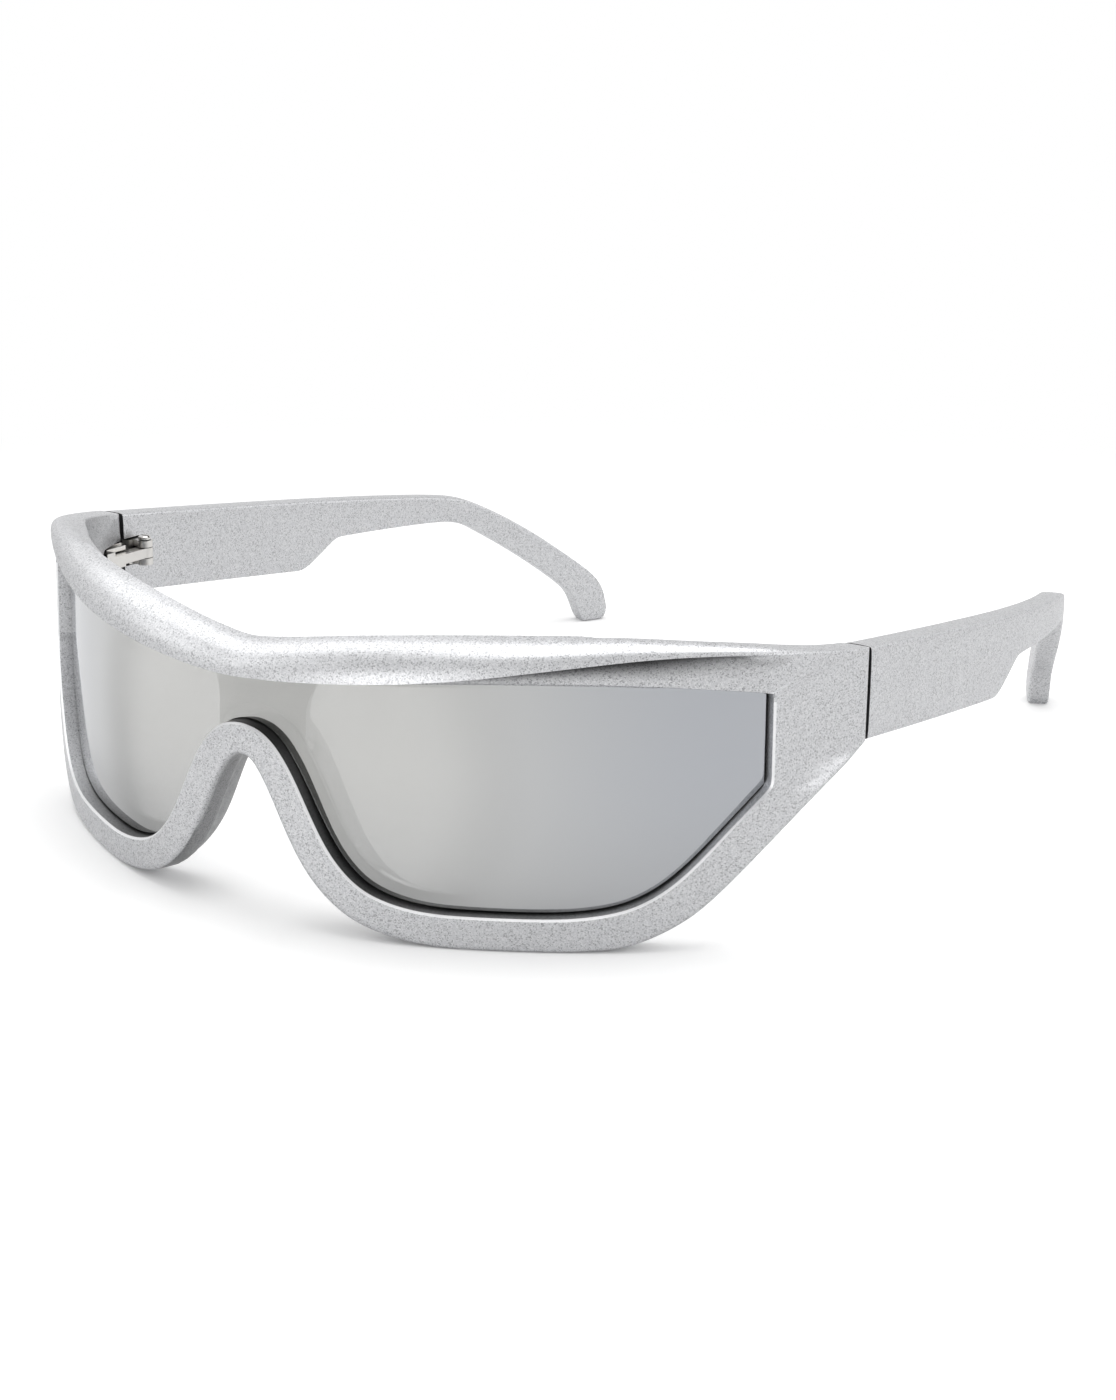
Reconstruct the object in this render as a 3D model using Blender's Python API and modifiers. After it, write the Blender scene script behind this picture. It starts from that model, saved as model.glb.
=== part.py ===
"""Wraparound sunglasses with a one-piece shield lens in a moulded wrap frame.

The wearer looks along -Y, +X is the wearer's left and +Z is up. The glasses
stand open on a table, on the two lower rims and the two temple tips. Lengths
are in metres.
"""
from math import cos, pi, radians, sin

import bmesh
import bpy
import numpy as np
from mathutils import Matrix, Vector

MM = 0.001

# Front seen from above: an even curve that turns along the head at its ends
HALF_WIDTH = 70.0 * MM       # from the middle to the outer face at the joint
FRONT_REACH = 48.6 * MM      # the middle stands this far ahead of the joints
END_TURN = 7.0 * MM          # width of each end's turn
WRAP_SAG = 30.3 * MM         # how far the even curve sweeps back
BOW = 1.3 * MM               # how far the brow leans back from the rim
BOW_FROM = 6.5 * MM          # height where the lean starts
BOW_RISE = 33.0 * MM         # height over which it grows

# Front seen from ahead
FRONT_HEIGHT = 43.3 * MM     # table to the highest part of the brow
END_PIECE = 17.54 * MM       # from the lens opening to the joint, along the curve
OPENING_RISE = 37.05 * MM    # table to the top of the lens opening
NOSE_REACH = 24.5 * MM       # where the nose arch runs out, along the curve
JOINT_TOP = 39.2 * MM        # height of the joint's upper edge
JOINT_LOW = 26.0 * MM        # height of the joint's lower edge
RIM_WIDTH = 4.8 * MM         # rim under the lens
FRAME_DEPTH = 4.6 * MM       # from the front face to the inner face
EDGE_ROUND = 0.8 * MM        # rounding of the rim's outer edge
JOINT_ROUND = 0.35 * MM      # rounding along the end pieces
OPENING_BEVEL = 0.3 * MM     # bright bevel round the lens opening

# Rolled brow, which overhangs the lens and fades out at the end pieces
BROW_PROUD = 3.2 * MM        # overhang ahead of the front face
BROW_LIP_RISE = 6.0 * MM     # lip above the lens opening, at the ends
BROW_BACK = 2.4 * MM         # how far back the top edge lies
BROW_END = 11.84 * MM        # the roll ends this far ahead of the joint
BROW_BACK_SLOPE = 2.2 * MM   # height of the slope behind the top edge

# Lens and its seat
LENS_THICKNESS = 1.6 * MM
LENS_RECESS = 2.2 * MM       # lens face behind the front face
LENS_CLEARANCE = 0.3 * MM    # round the lens and behind it
LEDGE = 1.5 * MM             # ledge that backs the lens edge

# Nose saddle and bridge wall behind the lens
SADDLE_DEPTH = 5.0 * MM      # behind the inner face
SADDLE_FLARE = 2.2 * MM      # how far its nose side opens to the rear
SADDLE_INSET = 0.5 * MM      # its nose side behind the rim's edge
SADDLE_EYE = 1.8 * MM        # its eye side past the lens opening
SADDLE_ROOT = 0.3 * MM       # how deep it grows out of the rim
SADDLE_ROUND = 0.8 * MM      # rounding of its rear edges
BRIDGE_DEPTH = 2.6 * MM
BRIDGE_HALF = 8.2 * MM       # half width of the wall between the eyes
BRIDGE_ROOT = 2.7 * MM       # the wall starts this far below the arch
BRIDGE_LAP = 2.0 * MM        # and ends this far up the brow

# Temples, measured along their length from the joint
JOINT_GAP = 0.6 * MM
TEMPLE_LENGTH = 118.4 * MM
TEMPLE_THICKNESS = 4.4 * MM
TIP_THICKNESS = 3.7 * MM
TEMPLE_ROUND = 0.55 * MM     # rounding of the long edges
TEMPLE_TURN = radians(28)    # steepest heading towards the head
STEP_START = 45.5 * MM       # where the underside steps up
STEP_END = 54.2 * MM
STEP_LOW = 20.5 * MM         # height of the underside before the step
STEP_HIGH = 25.0 * MM        # and after it
TEMPLE_NECK = 29.2 * MM      # height of the top where the hook starts
HOOK_START = 75.0 * MM

# Hinge, which sits on the inner faces just behind the joint
HINGE_INSET = 1.9 * MM       # axis inside the temple's inner face
HINGE_SETBACK = 3.2 * MM     # axis behind the joint
HINGE_HEIGHT = 32.6 * MM     # table to the middle of the hinge
BARREL_RADIUS = 1.3 * MM
FRONT_KNUCKLE = 1.6 * MM     # height of the middle knuckle
SIDE_KNUCKLE = 1.1 * MM      # height of each outer knuckle
KNUCKLE_CLEARANCE = 0.12 * MM
ARM_HALF = 0.95 * MM         # half thickness of the arms to the knuckles
LEAF_SINK = 1.2 * MM         # how deep a leaf sits in its pocket
LEAF_HEIGHT = 4.0 * MM
LEAF_PROUD = 0.25 * MM       # how far a leaf stands out of its pocket
LEAF_CLEARANCE = 0.3 * MM
POCKET_ROUND = 0.9 * MM      # rounded corners of the pockets
BLOCK_PROUD = 0.15 * MM      # block that joins the arm to its leaf
BLOCK_INSET = 0.2 * MM
BLOCK_LENGTH = 1.8 * MM
BLOCK_HEIGHT = 3.2 * MM
CHEEK_PROUD = 1.3 * MM       # cheeks of the leaf above and below the arm
CHEEK_GAP = 0.25 * MM
FRONT_LEAF_LENGTH = 6.4 * MM
LEAF_SETBACK = 0.5 * MM      # leaf ends short of the joint
TEMPLE_LEAF_START = 1.2 * MM
TEMPLE_LEAF_END = 5.2 * MM
PIN_RADIUS = 0.55 * MM
PIN_CLEARANCE = 0.12 * MM
SCREW_HEAD_RADIUS = 1.0 * MM
SCREW_HEAD_HEIGHT = 0.6 * MM
SCREW_HEAD_ROUND = 0.2 * MM
SCREW_SLOT_WIDTH = 0.3 * MM
SCREW_SLOT_DEPTH = 0.28 * MM
CUT_OVERRUN = 2.0 * MM       # cutters reach this far past what they cut

# Lens opening, the wearer's left half: shares of its half length, and of its
# height over the rim. The brow side runs out to the rounded corner.
TOP_EDGE_SHARES = (
    (0.0, 0.944), (0.106, 0.953), (0.215, 0.966), (0.353, 0.982),
    (0.456, 0.994), (0.562, 1.0), (0.684, 1.0), (0.76, 0.994),
    (0.857, 0.982), (0.943, 0.966), (0.986, 0.956), (0.997, 0.949),
    (1.0, 0.930),
)
# The corner above the slanted lower end, and places between the two corners
END_LOW_SHARE = 0.558
END_SHARES = (0.4, 0.75)
# The slanted lower end, from that corner towards the rim
SLANT_SHARES = (
    (0.962, 0.472), (0.910, 0.345), (0.856, 0.213), (0.804, 0.113),
)
# The rim side, from the cheek to the level bottom
CHEEK_SHARES = ((0.742, 0.042), (0.669, 0.010), (0.592, 0.0))
# The nose arch, with shares of the nose reach in place of the half length
ARCH_SHARES = (
    (1.347, 0.0), (1.183, 0.003), (0.998, 0.020), (0.785, 0.072),
    (0.616, 0.184), (0.491, 0.334), (0.367, 0.515), (0.246, 0.642),
    (0.123, 0.705), (0.0, 0.721),
)
# Width of the rim at those places, as shares of the rim width
RIM_WIDTH_SHARES = (
    1.12, 1.04, 1.0, 1.0, 1.0, 1.0, 1.02, 1.04, 1.04, 1.03, 1.0, 0.96, 0.95,
)
# The frame's lower edge outside those places, from the joint's lower corner:
# shares of the way to the joint, and of the corner's height
SLANT_OUTER_SHARES = (
    (0.899, 0.831), (0.817, 0.596), (0.751, 0.358), (0.691, 0.169),
)
# The outer edge is level with the table where it is nearer than this
LEVEL_SHARE = 0.02

# Top edge of the brow: shares of the way to the joint, and of the rise from
# the joint's top to the highest part
BROW_TOP_SHARES = (
    (0.0, 0.081), (0.087, 0.324), (0.177, 0.588), (0.291, 0.810),
    (0.415, 0.946), (0.542, 1.0), (0.623, 0.983), (0.705, 0.860),
    (0.765, 0.749), (0.820, 0.587), (0.874, 0.396), (0.929, 0.219),
    (1.0, 0.0),
)
# The brow's overhang and the rise of its lip, at shares of its fade length
BROW_PROUD_SHARES = (
    (0.0, 1.0), (0.33, 1.0), (0.43, 0.98), (0.53, 0.88), (0.64, 0.69),
    (0.81, 0.40), (0.91, 0.19), (1.0, 0.0),
)
BROW_LIP_SHARES = (
    (0.0, 0.03), (0.20, 0.08), (0.33, 0.14), (0.43, 0.21), (0.53, 0.34),
    (0.64, 0.48), (0.81, 0.76), (0.91, 0.97), (1.0, 1.0),
)
# Outer places that pair with the last places of the top edge
TOP_OUTER_SHARES = (0.76, 0.835, 0.90, 0.955, 1.0)
# The edge rounding changes between these shares of the way to the joint
ROUND_CHANGE_SHARES = (0.75, 0.95)
# Where the flat face under the brow meets the lip
LIP_FOOT_SHARE = 0.9
# How much of the slope behind the top edge lies above its rear corner
SLOPE_TOP_SHARE = 0.8

# Saddle, at shares of the nose reach: its depth, eye side and flare
SADDLE_DEPTH_SHARES = ((0.0, 0.8), (0.25, 0.9), (0.5, 1.0), (0.75, 0.8), (1.0, 0.16))
SADDLE_EYE_SHARES = ((0.0, 1.0), (0.25, 1.0), (0.5, 0.9), (0.75, 0.84), (1.0, 0.84))
SADDLE_FLARE_SHARES = ((0.0, 0.35), (0.25, 0.6), (0.5, 1.0), (0.75, 0.8), (1.0, 0.1))
# Its rear edges are rounded by no more than this share of its depth
SADDLE_ROUND_SHARE = 0.45
# The nose side bends this share of the way back, and the eye side starts in
SADDLE_BEND_SHARE = 0.55
SADDLE_FOOT_SHARE = 0.7

# Bridge wall, at shares of its height: its half width and its depth
BRIDGE_HALF_SHARES = ((0.0, 1.0), (0.35, 1.0), (0.65, 1.15), (0.85, 1.4), (1.0, 1.65))
BRIDGE_DEPTH_SHARES = ((0.0, 1.0), (0.35, 1.0), (0.65, 0.9), (0.85, 0.66), (1.0, 0.3))
# Power of its rounded section, where 1 would be an ellipse
BRIDGE_ROUND_POWER = 0.55

# Temple from above: heading as shares of its steepest, along its length
TEMPLE_TURN_SHARES = (
    (0.0, 0.0), (0.17, 0.043), (0.34, 0.093), (0.51, 0.232), (0.635, 0.447),
    (0.72, 0.697), (0.80, 0.87), (0.89, 0.96), (1.0, 1.0),
)
# Ear hook: shares of the way from the hook's start to the tip, and heights
# as shares of the neck's height
HOOK_TOP_SHARES = (
    (0.0, 1.0), (0.16, 0.966), (0.26, 0.935), (0.35, 0.880), (0.443, 0.812),
    (0.63, 0.647), (0.814, 0.455), (0.908, 0.349), (0.954, 0.284),
    (0.984, 0.205), (1.0, 0.096),
)
HOOK_LOW_SHARES = (
    (0.0, 0.818), (0.16, 0.803), (0.26, 0.768), (0.35, 0.695), (0.535, 0.524),
    (0.72, 0.329), (0.80, 0.234), (0.83, 0.178), (0.853, 0.094),
    (0.869, 0.032), (0.885, 0.0), (0.968, 0.0), (0.989, 0.012), (1.0, 0.05),
)
HOOK_STATION_SHARES = (
    0.08, 0.16, 0.21, 0.26, 0.305, 0.35, 0.443, 0.535, 0.63, 0.72, 0.80,
    0.83, 0.853, 0.869, 0.885, 0.908, 0.94, 0.968, 0.984, 0.992, 1.0,
)
STEP_ROUND_SHARE = 0.17      # rounding of the step's corners
STEP_MARGIN_SHARE = 0.22     # the sections are close together round the step

SIDE_NAMES = {1: 'left', -1: 'right'}
SHARP_ANGLE = radians(35)
MERGE_DISTANCE = 0.00001
RING_STEPS = 2
ROLL_STEPS = 4
PLAN_STEPS = 240
PATH_STEPS = 120
ROUND_SIDES = 24
POCKET_STEPS = 3
BRIDGE_RINGS = 9
BRIDGE_SIDES = 15
LENS_ROWS = 6
LENS_COLUMNS = 27
CORNER_STEPS = 2


def ramp(table, x):
    """Value of a table of (x, value) pairs at x, with smooth joins."""
    xs = np.array([row[0] for row in table])
    ys = np.array([row[1] for row in table])
    steps = np.diff(ys) / np.diff(xs)
    same = steps[:-1] * steps[1:] > 0
    slopes = np.zeros(len(xs))
    mean = 2 * steps[:-1] * steps[1:] / np.where(same, steps[:-1] + steps[1:], 1)
    slopes[1:-1] = np.where(same, mean, 0)
    slopes[0] = steps[0]
    slopes[-1] = steps[-1]
    k = int(np.clip(np.searchsorted(xs, x) - 1, 0, len(xs) - 2))
    run = xs[k + 1] - xs[k]
    t = min(max((x - xs[k]) / run, 0.0), 1.0)
    weights = (2 * t ** 3 - 3 * t ** 2 + 1, t ** 3 - 2 * t ** 2 + t,
               3 * t ** 2 - 2 * t ** 3, t ** 3 - t ** 2)
    return float(weights[0] * ys[k] + weights[1] * run * slopes[k]
                 + weights[2] * ys[k + 1] + weights[3] * run * slopes[k + 1])


def plan_curve():
    """Half of the front from above: arc length, x, y and outward normal."""
    share = np.linspace(0, 1, PLAN_STEPS)
    wrap_half = HALF_WIDTH - END_TURN
    x = wrap_half * share
    y = WRAP_SAG * share ** 2 - FRONT_REACH
    corner_y = y[-1] + 2 * WRAP_SAG / wrap_half * END_TURN
    t = share[1:]
    end_x = HALF_WIDTH - (1 - t) ** 2 * END_TURN
    end_y = (1 - t) ** 2 * y[-1] + 2 * t * (1 - t) * corner_y
    x = np.concatenate([x, end_x])
    y = np.concatenate([y, end_y])
    arc = np.concatenate([[0], np.cumsum(np.hypot(np.diff(x), np.diff(y)))])
    tangent = np.stack([np.gradient(x, arc), np.gradient(y, arc)])
    tangent /= np.hypot(*tangent)
    tangent[:, 0] = (1, 0)
    tangent[:, -1] = (0, 1)
    return arc, x, y, tangent[1], -tangent[0]


ARC, PLAN_X, PLAN_Y, NORMAL_X, NORMAL_Y = plan_curve()
JOINT_ARC = float(ARC[-1])
OPENING_HALF = JOINT_ARC - END_PIECE
BROW_FADE = JOINT_ARC - BROW_END
INNER_FACE = HALF_WIDTH - FRAME_DEPTH
SEAT_DEPTH = LENS_RECESS + LENS_THICKNESS + LENS_CLEARANCE
AXIS = Vector((INNER_FACE - HINGE_INSET, HINGE_SETBACK, HINGE_HEIGHT))


def on_front(along, height, depth):
    """Point at an arc length, a height and a depth behind the front face."""
    side = -1 if along < 0 else 1
    arc = abs(along)
    fade = 1 - (arc / JOINT_ARC) ** 2
    back = depth + fade * BOW * ((height - BOW_FROM) / BOW_RISE) ** 2
    x = np.interp(arc, ARC, PLAN_X) - np.interp(arc, ARC, NORMAL_X) * back
    y = np.interp(arc, ARC, PLAN_Y) - np.interp(arc, ARC, NORMAL_Y) * back
    return Vector((side * x, y, height))


def section_ring(inner, run, outline):
    """An outline of (distance, depth) pairs, set up at a place of the front."""
    ring = []
    for distance, depth in outline:
        along, height = inner + run * distance
        ring.append(on_front(max(along, 0.0), height, depth))
    return ring


def dense(points, steps):
    """Catmull-Rom points through a chain of (along, height) points."""
    chain = [2 * points[0] - points[1], *points, 2 * points[-1] - points[-2]]
    out = []
    for k in range(1, len(chain) - 2):
        a, b, c, d = chain[k - 1:k + 3]
        for t in np.arange(steps) / steps:
            out.append(b + 0.5 * ((c - a) * t + (2 * a - 5 * b + 4 * c - d) * t ** 2
                                  + (3 * b - a - 3 * c + d) * t ** 3))
    out.append(points[-1])
    return out


def opening_point(shares, reach=OPENING_HALF):
    rise = OPENING_RISE - RIM_WIDTH
    return np.array([shares[0] * reach, RIM_WIDTH + shares[1] * rise])


def rim_inner():
    """Inner edge of the rim, from the cheek up the nose arch to the middle."""
    rim = [opening_point(shares) for shares in CHEEK_SHARES]
    return rim + [opening_point(shares, NOSE_REACH) for shares in ARCH_SHARES]


def brow_top(along):
    return JOINT_TOP + ramp(BROW_TOP_SHARES, along / JOINT_ARC) * (FRONT_HEIGHT - JOINT_TOP)


def rim_outer(rim):
    """Outer edge of the rim: its inner edge moved out by the rim's width."""
    outer = []
    for k, point in enumerate(rim):
        run = rim[min(k + 1, len(rim) - 1)] - rim[max(k - 1, 0)]
        normal = np.array([-run[1], run[0]]) / np.hypot(*run)
        moved = point + normal * RIM_WIDTH * RIM_WIDTH_SHARES[k]
        outer.append(np.maximum(moved, 0.0))
    outer[-1] = rim[-1] - np.array([0.0, RIM_WIDTH * RIM_WIDTH_SHARES[-1]])
    return outer


def ring_pairs():
    """Brow, end and rim of half the front, as pairs of inner and outer points."""
    straight = len(TOP_EDGE_SHARES) - len(TOP_OUTER_SHARES)
    brow = []
    for k, shares in enumerate(TOP_EDGE_SHARES):
        inner = opening_point(shares)
        along = inner[0]
        if k >= straight:
            along = TOP_OUTER_SHARES[k - straight] * JOINT_ARC
        brow.append((inner, np.array([along, brow_top(along)])))
    top = brow[-1]
    low = (opening_point((1, END_LOW_SHARE)), np.array([JOINT_ARC, JOINT_LOW]))
    end = [top]
    for share in END_SHARES:
        end.append(tuple(a + share * (b - a) for a, b in zip(top, low)))
    end.append(low)
    rim = rim_inner()
    outer = rim_outer(rim)
    slant = []
    for shares, outer_shares in zip(SLANT_SHARES, SLANT_OUTER_SHARES):
        slant.append((opening_point(shares), np.array(outer_shares) * low[1]))
    return brow, end, [low, *slant, *zip(rim, outer)]


def ring_stations():
    """The pairs on smooth curves, each with the name of its part of the ring."""
    parts = dict(zip(('brow', 'end', 'rim'), ring_pairs()))
    stations = []
    for name, part in parts.items():
        inner = dense([pair[0] for pair in part], RING_STEPS)
        outer = dense([pair[1] for pair in part], RING_STEPS)
        for point in outer:
            if point[1] < LEVEL_SHARE * RIM_WIDTH:
                point[1] = 0.0
        stations += [(*pair, name) for pair in list(zip(inner, outer))[:-1]]
    return [*stations, (*parts['rim'][-1], 'rim')]


def front_section(inner, outer, part):
    """Section of the front at a station, from the ledge round to the rear."""
    width = np.hypot(*(outer - inner))
    start, stop = (share * JOINT_ARC for share in ROUND_CHANGE_SHARES)
    near_joint = min(max((outer[0] - start) / (stop - start), 0), 1)
    rounding = EDGE_ROUND + near_joint * (JOINT_ROUND - EDGE_ROUND)
    lip = width - rounding
    back = rounding
    proud = 0.0
    slope = 0.0
    if part == 'brow':
        fade = min(outer[0] / BROW_FADE, 1.0)
        roll = 1 - fade ** 3
        proud = BROW_PROUD * ramp(BROW_PROUD_SHARES, fade)
        lip += roll * (BROW_LIP_RISE * ramp(BROW_LIP_SHARES, fade) - lip)
        back += roll * (BROW_BACK - back)
        slope = BROW_BACK_SLOPE * roll
    foot = lip * LIP_FOOT_SHARE
    bevel = min(OPENING_BEVEL, foot / 2)
    points = [(-LEDGE, FRAME_DEPTH), (-LEDGE, SEAT_DEPTH), (0, SEAT_DEPTH),
              (0, bevel), (bevel, 0), (foot, 0)]
    for angle in np.linspace(0, pi / 2, ROLL_STEPS + 1):
        points.append((lip + (width - lip) * sin(angle), back - (back + proud) * cos(angle)))
    return [*points, (width - slope * SLOPE_TOP_SHARE, FRAME_DEPTH - rounding),
            (width - rounding - slope, FRAME_DEPTH)]


def add_object(name, shape, material=None, parent=None, group='sunglasses'):
    """New object from a function that fills a bmesh; its faces point out."""
    bm = bmesh.new()
    shape(bm)
    bmesh.ops.recalc_face_normals(bm, faces=bm.faces)
    if bm.calc_volume(signed=True) < 0:
        bmesh.ops.reverse_faces(bm, faces=bm.faces)
    mesh = bpy.data.meshes.new(name)
    bm.to_mesh(mesh)
    bm.free()
    obj = bpy.data.objects.new(name, mesh)
    bpy.data.collections[group].objects.link(obj)
    if material:
        mesh.materials.append(material)
        mesh.shade_smooth()
        mesh.set_sharp_from_angle(angle=SHARP_ANGLE)
    obj.parent = parent
    return obj


def add_cutter(name, shape, parent=None):
    cutter = add_object(name, shape, parent=parent, group='cutters')
    cutter.display_type = 'WIRE'
    cutter.hide_render = True
    return cutter


def mirrored(obj):
    """Complete a half that is open at the plane X = 0."""
    mirror = obj.modifiers.new('other half', 'MIRROR')
    mirror.merge_threshold = MERGE_DISTANCE
    return obj


def combine(obj, other, operation):
    boolean = obj.modifiers.new(other.name, 'BOOLEAN')
    boolean.operation = operation
    boolean.solver = 'EXACT'
    boolean.object = other


def loft(bm, rings, capped=()):
    """Skin rings of points, with a face over each ring that capped names."""
    rows = [[bm.verts.new(p) for p in ring] for ring in rings]
    for a, b in zip(rows, rows[1:]):
        for k in range(len(a)):
            n = (k + 1) % len(a)
            bm.faces.new((a[k], a[n], b[n], b[k]))
    for k in capped:
        bm.faces.new(rows[k])


def box(bm, low, high, rounding=0.0):
    """Box between two corners; its edges along X can be rounded."""
    size = [h - l for l, h in zip(low, high)]
    middle = [(h + l) / 2 for l, h in zip(low, high)]
    place = Matrix.Translation(middle) @ Matrix.Diagonal((*size, 1))
    bmesh.ops.create_cube(bm, size=1, matrix=place)
    if rounding:
        edges = [e for e in bm.edges if abs((e.verts[0].co - e.verts[1].co).x) > size[0] / 2]
        bmesh.ops.bevel(bm, geom=edges, offset=rounding, segments=POCKET_STEPS, profile=0.5,
                        affect='EDGES')


def disc(bm, radius, low, high):
    """Upright cylinder on the axis, between two heights."""
    place = Matrix.Translation((0, 0, (low + high) / 2))
    bmesh.ops.create_cone(bm, cap_ends=True, segments=ROUND_SIDES, radius1=radius,
                          radius2=radius, depth=high - low, matrix=place)


def on_side(bm, side):
    """Turn a shape made for the wearer's left into its right twin."""
    if side < 0:
        bmesh.ops.scale(bm, vec=(-1, 1, 1), verts=bm.verts)


def front_half(bm):
    """Half of the front round the lens opening."""
    rings = []
    for inner, outer, part in ring_stations():
        run = (outer - inner) / np.hypot(*(outer - inner))
        rings.append(section_ring(inner, run, front_section(inner, outer, part)))
    for point in rings[0] + rings[-1]:
        point.x = 0
    loft(bm, rings)


def saddle_section(inner, width):
    """Section of the nose saddle where the opening's edge passes a point."""
    share = min(inner[0] / NOSE_REACH, 1.0)
    deep = SADDLE_DEPTH * ramp(SADDLE_DEPTH_SHARES, share)
    eye = SADDLE_EYE * ramp(SADDLE_EYE_SHARES, share)
    flare = SADDLE_FLARE * ramp(SADDLE_FLARE_SHARES, share)
    nose = width - SADDLE_INSET
    back = FRAME_DEPTH + deep
    soft = min(SADDLE_ROUND, deep * SADDLE_ROUND_SHARE)
    root = FRAME_DEPTH - SADDLE_ROOT
    return [(nose, root), (nose - flare / 2, FRAME_DEPTH + deep * SADDLE_BEND_SHARE),
            (nose - flare, back - soft), (nose - flare - soft, back),
            (soft - eye, back), (-eye, back - soft), (-eye, FRAME_DEPTH + soft),
            (-max(eye, LEDGE) * SADDLE_FOOT_SHARE, root)]


def saddle_half(bm):
    """Nose saddle: a wall that grows back from one side of the arch."""
    rim = rim_inner()
    first = [k for k, point in enumerate(rim) if point[0] <= NOSE_REACH][0] - 1
    inner_edge = dense(rim[first:], RING_STEPS)
    outer_edge = dense(rim_outer(rim)[first:], RING_STEPS)
    rings = []
    for inner, outer in zip(inner_edge, outer_edge):
        width = np.hypot(*(outer - inner))
        rings.append(section_ring(inner, (outer - inner) / width, saddle_section(inner, width)))
    for point in rings[-1]:
        point.x = 0
    loft(bm, rings, capped=(0,))


def bridge_wall(bm):
    """Wall between the eyes, from the saddle up to the brow."""
    base = opening_point(ARCH_SHARES[-1])[1] - BRIDGE_ROOT
    top = opening_point(TOP_EDGE_SHARES[0])[1] + BRIDGE_LAP
    front = FRAME_DEPTH - SADDLE_ROOT
    rings = []
    for share in np.linspace(0, 1, BRIDGE_RINGS):
        half = BRIDGE_HALF * ramp(BRIDGE_HALF_SHARES, share)
        deep = SADDLE_ROOT + BRIDGE_DEPTH * ramp(BRIDGE_DEPTH_SHARES, share)
        ring = []
        for angle in np.linspace(0, pi, BRIDGE_SIDES):
            across = np.sign(cos(angle)) * abs(cos(angle)) ** BRIDGE_ROUND_POWER
            depth = front + deep * abs(sin(angle)) ** BRIDGE_ROUND_POWER
            ring.append(on_front(half * across, base + share * (top - base), depth))
        rings.append(ring)
    loft(bm, rings, capped=(0, -1))


def lens_half(bm):
    """Half of the shield lens: a curved sheet with clearance all round."""
    edges = {'brow': [], 'end': [], 'rim': []}
    for inner, outer, part in ring_stations():
        run = (outer - inner) / np.hypot(*(outer - inner))
        edges[part].append(tuple(inner - run * LENS_CLEARANCE))
    end = min(max(edges['brow'])[0], max(edges['rim'])[0])
    columns = []
    for along in np.linspace(0, end, LENS_COLUMNS):
        high = np.interp(along, *zip(*sorted(edges['brow'])))
        base = np.interp(along, *zip(*sorted(edges['rim'])))
        rows = np.linspace(base, high, LENS_ROWS)
        face = [on_front(along, height, LENS_RECESS) for height in rows]
        back = [on_front(along, height, LENS_RECESS + LENS_THICKNESS) for height in rows]
        columns.append(face + back[::-1])
    for point in columns[0]:
        point.x = 0
    loft(bm, columns, capped=(-1,))


def soft_step(t, rounding):
    """Straight climb from 0 to 1 with rounded corners."""
    if t < rounding:
        return max(t + rounding, 0) ** 2 / (4 * rounding)
    if t > 1 - rounding:
        return 1 - max(1 + rounding - t, 0) ** 2 / (4 * rounding)
    return t


def hook_height(table, along):
    share = (along - HOOK_START) / (TEMPLE_LENGTH - HOOK_START)
    return TEMPLE_NECK * ramp(table, share)


def temple_top(along):
    if along > HOOK_START:
        return hook_height(HOOK_TOP_SHARES, along)
    return JOINT_TOP + (TEMPLE_NECK - JOINT_TOP) * along / HOOK_START


def temple_low(along):
    if along > HOOK_START:
        return hook_height(HOOK_LOW_SHARES, along)
    neck = hook_height(HOOK_LOW_SHARES, HOOK_START)
    before = JOINT_LOW + (STEP_LOW - JOINT_LOW) * along / STEP_START
    after = STEP_HIGH + (neck - STEP_HIGH) * (along - STEP_END) / (HOOK_START - STEP_END)
    climb = soft_step((along - STEP_START) / (STEP_END - STEP_START), STEP_ROUND_SHARE)
    return before + (after - before) * climb


def temple_path(along):
    """Middle of the temple from above, and its outward direction."""
    steps = np.linspace(0, along / TEMPLE_LENGTH, PATH_STEPS)
    turn = TEMPLE_TURN * np.array([ramp(TEMPLE_TURN_SHARES, step) for step in steps])
    run = along / (PATH_STEPS - 1)
    x = HALF_WIDTH - TEMPLE_THICKNESS / 2
    x -= float(np.sum(np.sin(turn[1:]) + np.sin(turn[:-1])) / 2 * run)
    y = float(np.sum(np.cos(turn[1:]) + np.cos(turn[:-1])) / 2 * run)
    return x, y, cos(turn[-1]), sin(turn[-1])


def temple_section(along):
    """Rounded upright section of the temple."""
    x, y, out_x, out_y = temple_path(along)
    low, top = temple_low(along), temple_top(along)
    share = along / TEMPLE_LENGTH
    half = (TEMPLE_THICKNESS + share ** 2 * (TIP_THICKNESS - TEMPLE_THICKNESS)) / 2
    radius = min(TEMPLE_ROUND, (top - low) / 3, half / 2)
    ring = []
    for corner, (out, up) in enumerate(((1, 1), (-1, 1), (-1, -1), (1, -1))):
        for k in range(CORNER_STEPS + 1):
            angle = (corner + k / CORNER_STEPS) * pi / 2
            across = out * (half - radius) + radius * cos(angle)
            height = (top if up > 0 else low) - up * radius + radius * sin(angle)
            ring.append(Vector((x + out_x * across, y + out_y * across, height)))
    return ring


def temple_stations():
    margin = STEP_MARGIN_SHARE * (STEP_END - STEP_START)
    front = np.linspace(JOINT_GAP, STEP_START - margin, 8)
    step = np.linspace(STEP_START - margin, STEP_END + margin, 12)[1:]
    middle = np.linspace(STEP_END + margin, HOOK_START, 5)[1:]
    hook = [HOOK_START + s * (TEMPLE_LENGTH - HOOK_START) for s in HOOK_STATION_SHARES]
    return [*front, *step, *middle, *hook]


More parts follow.
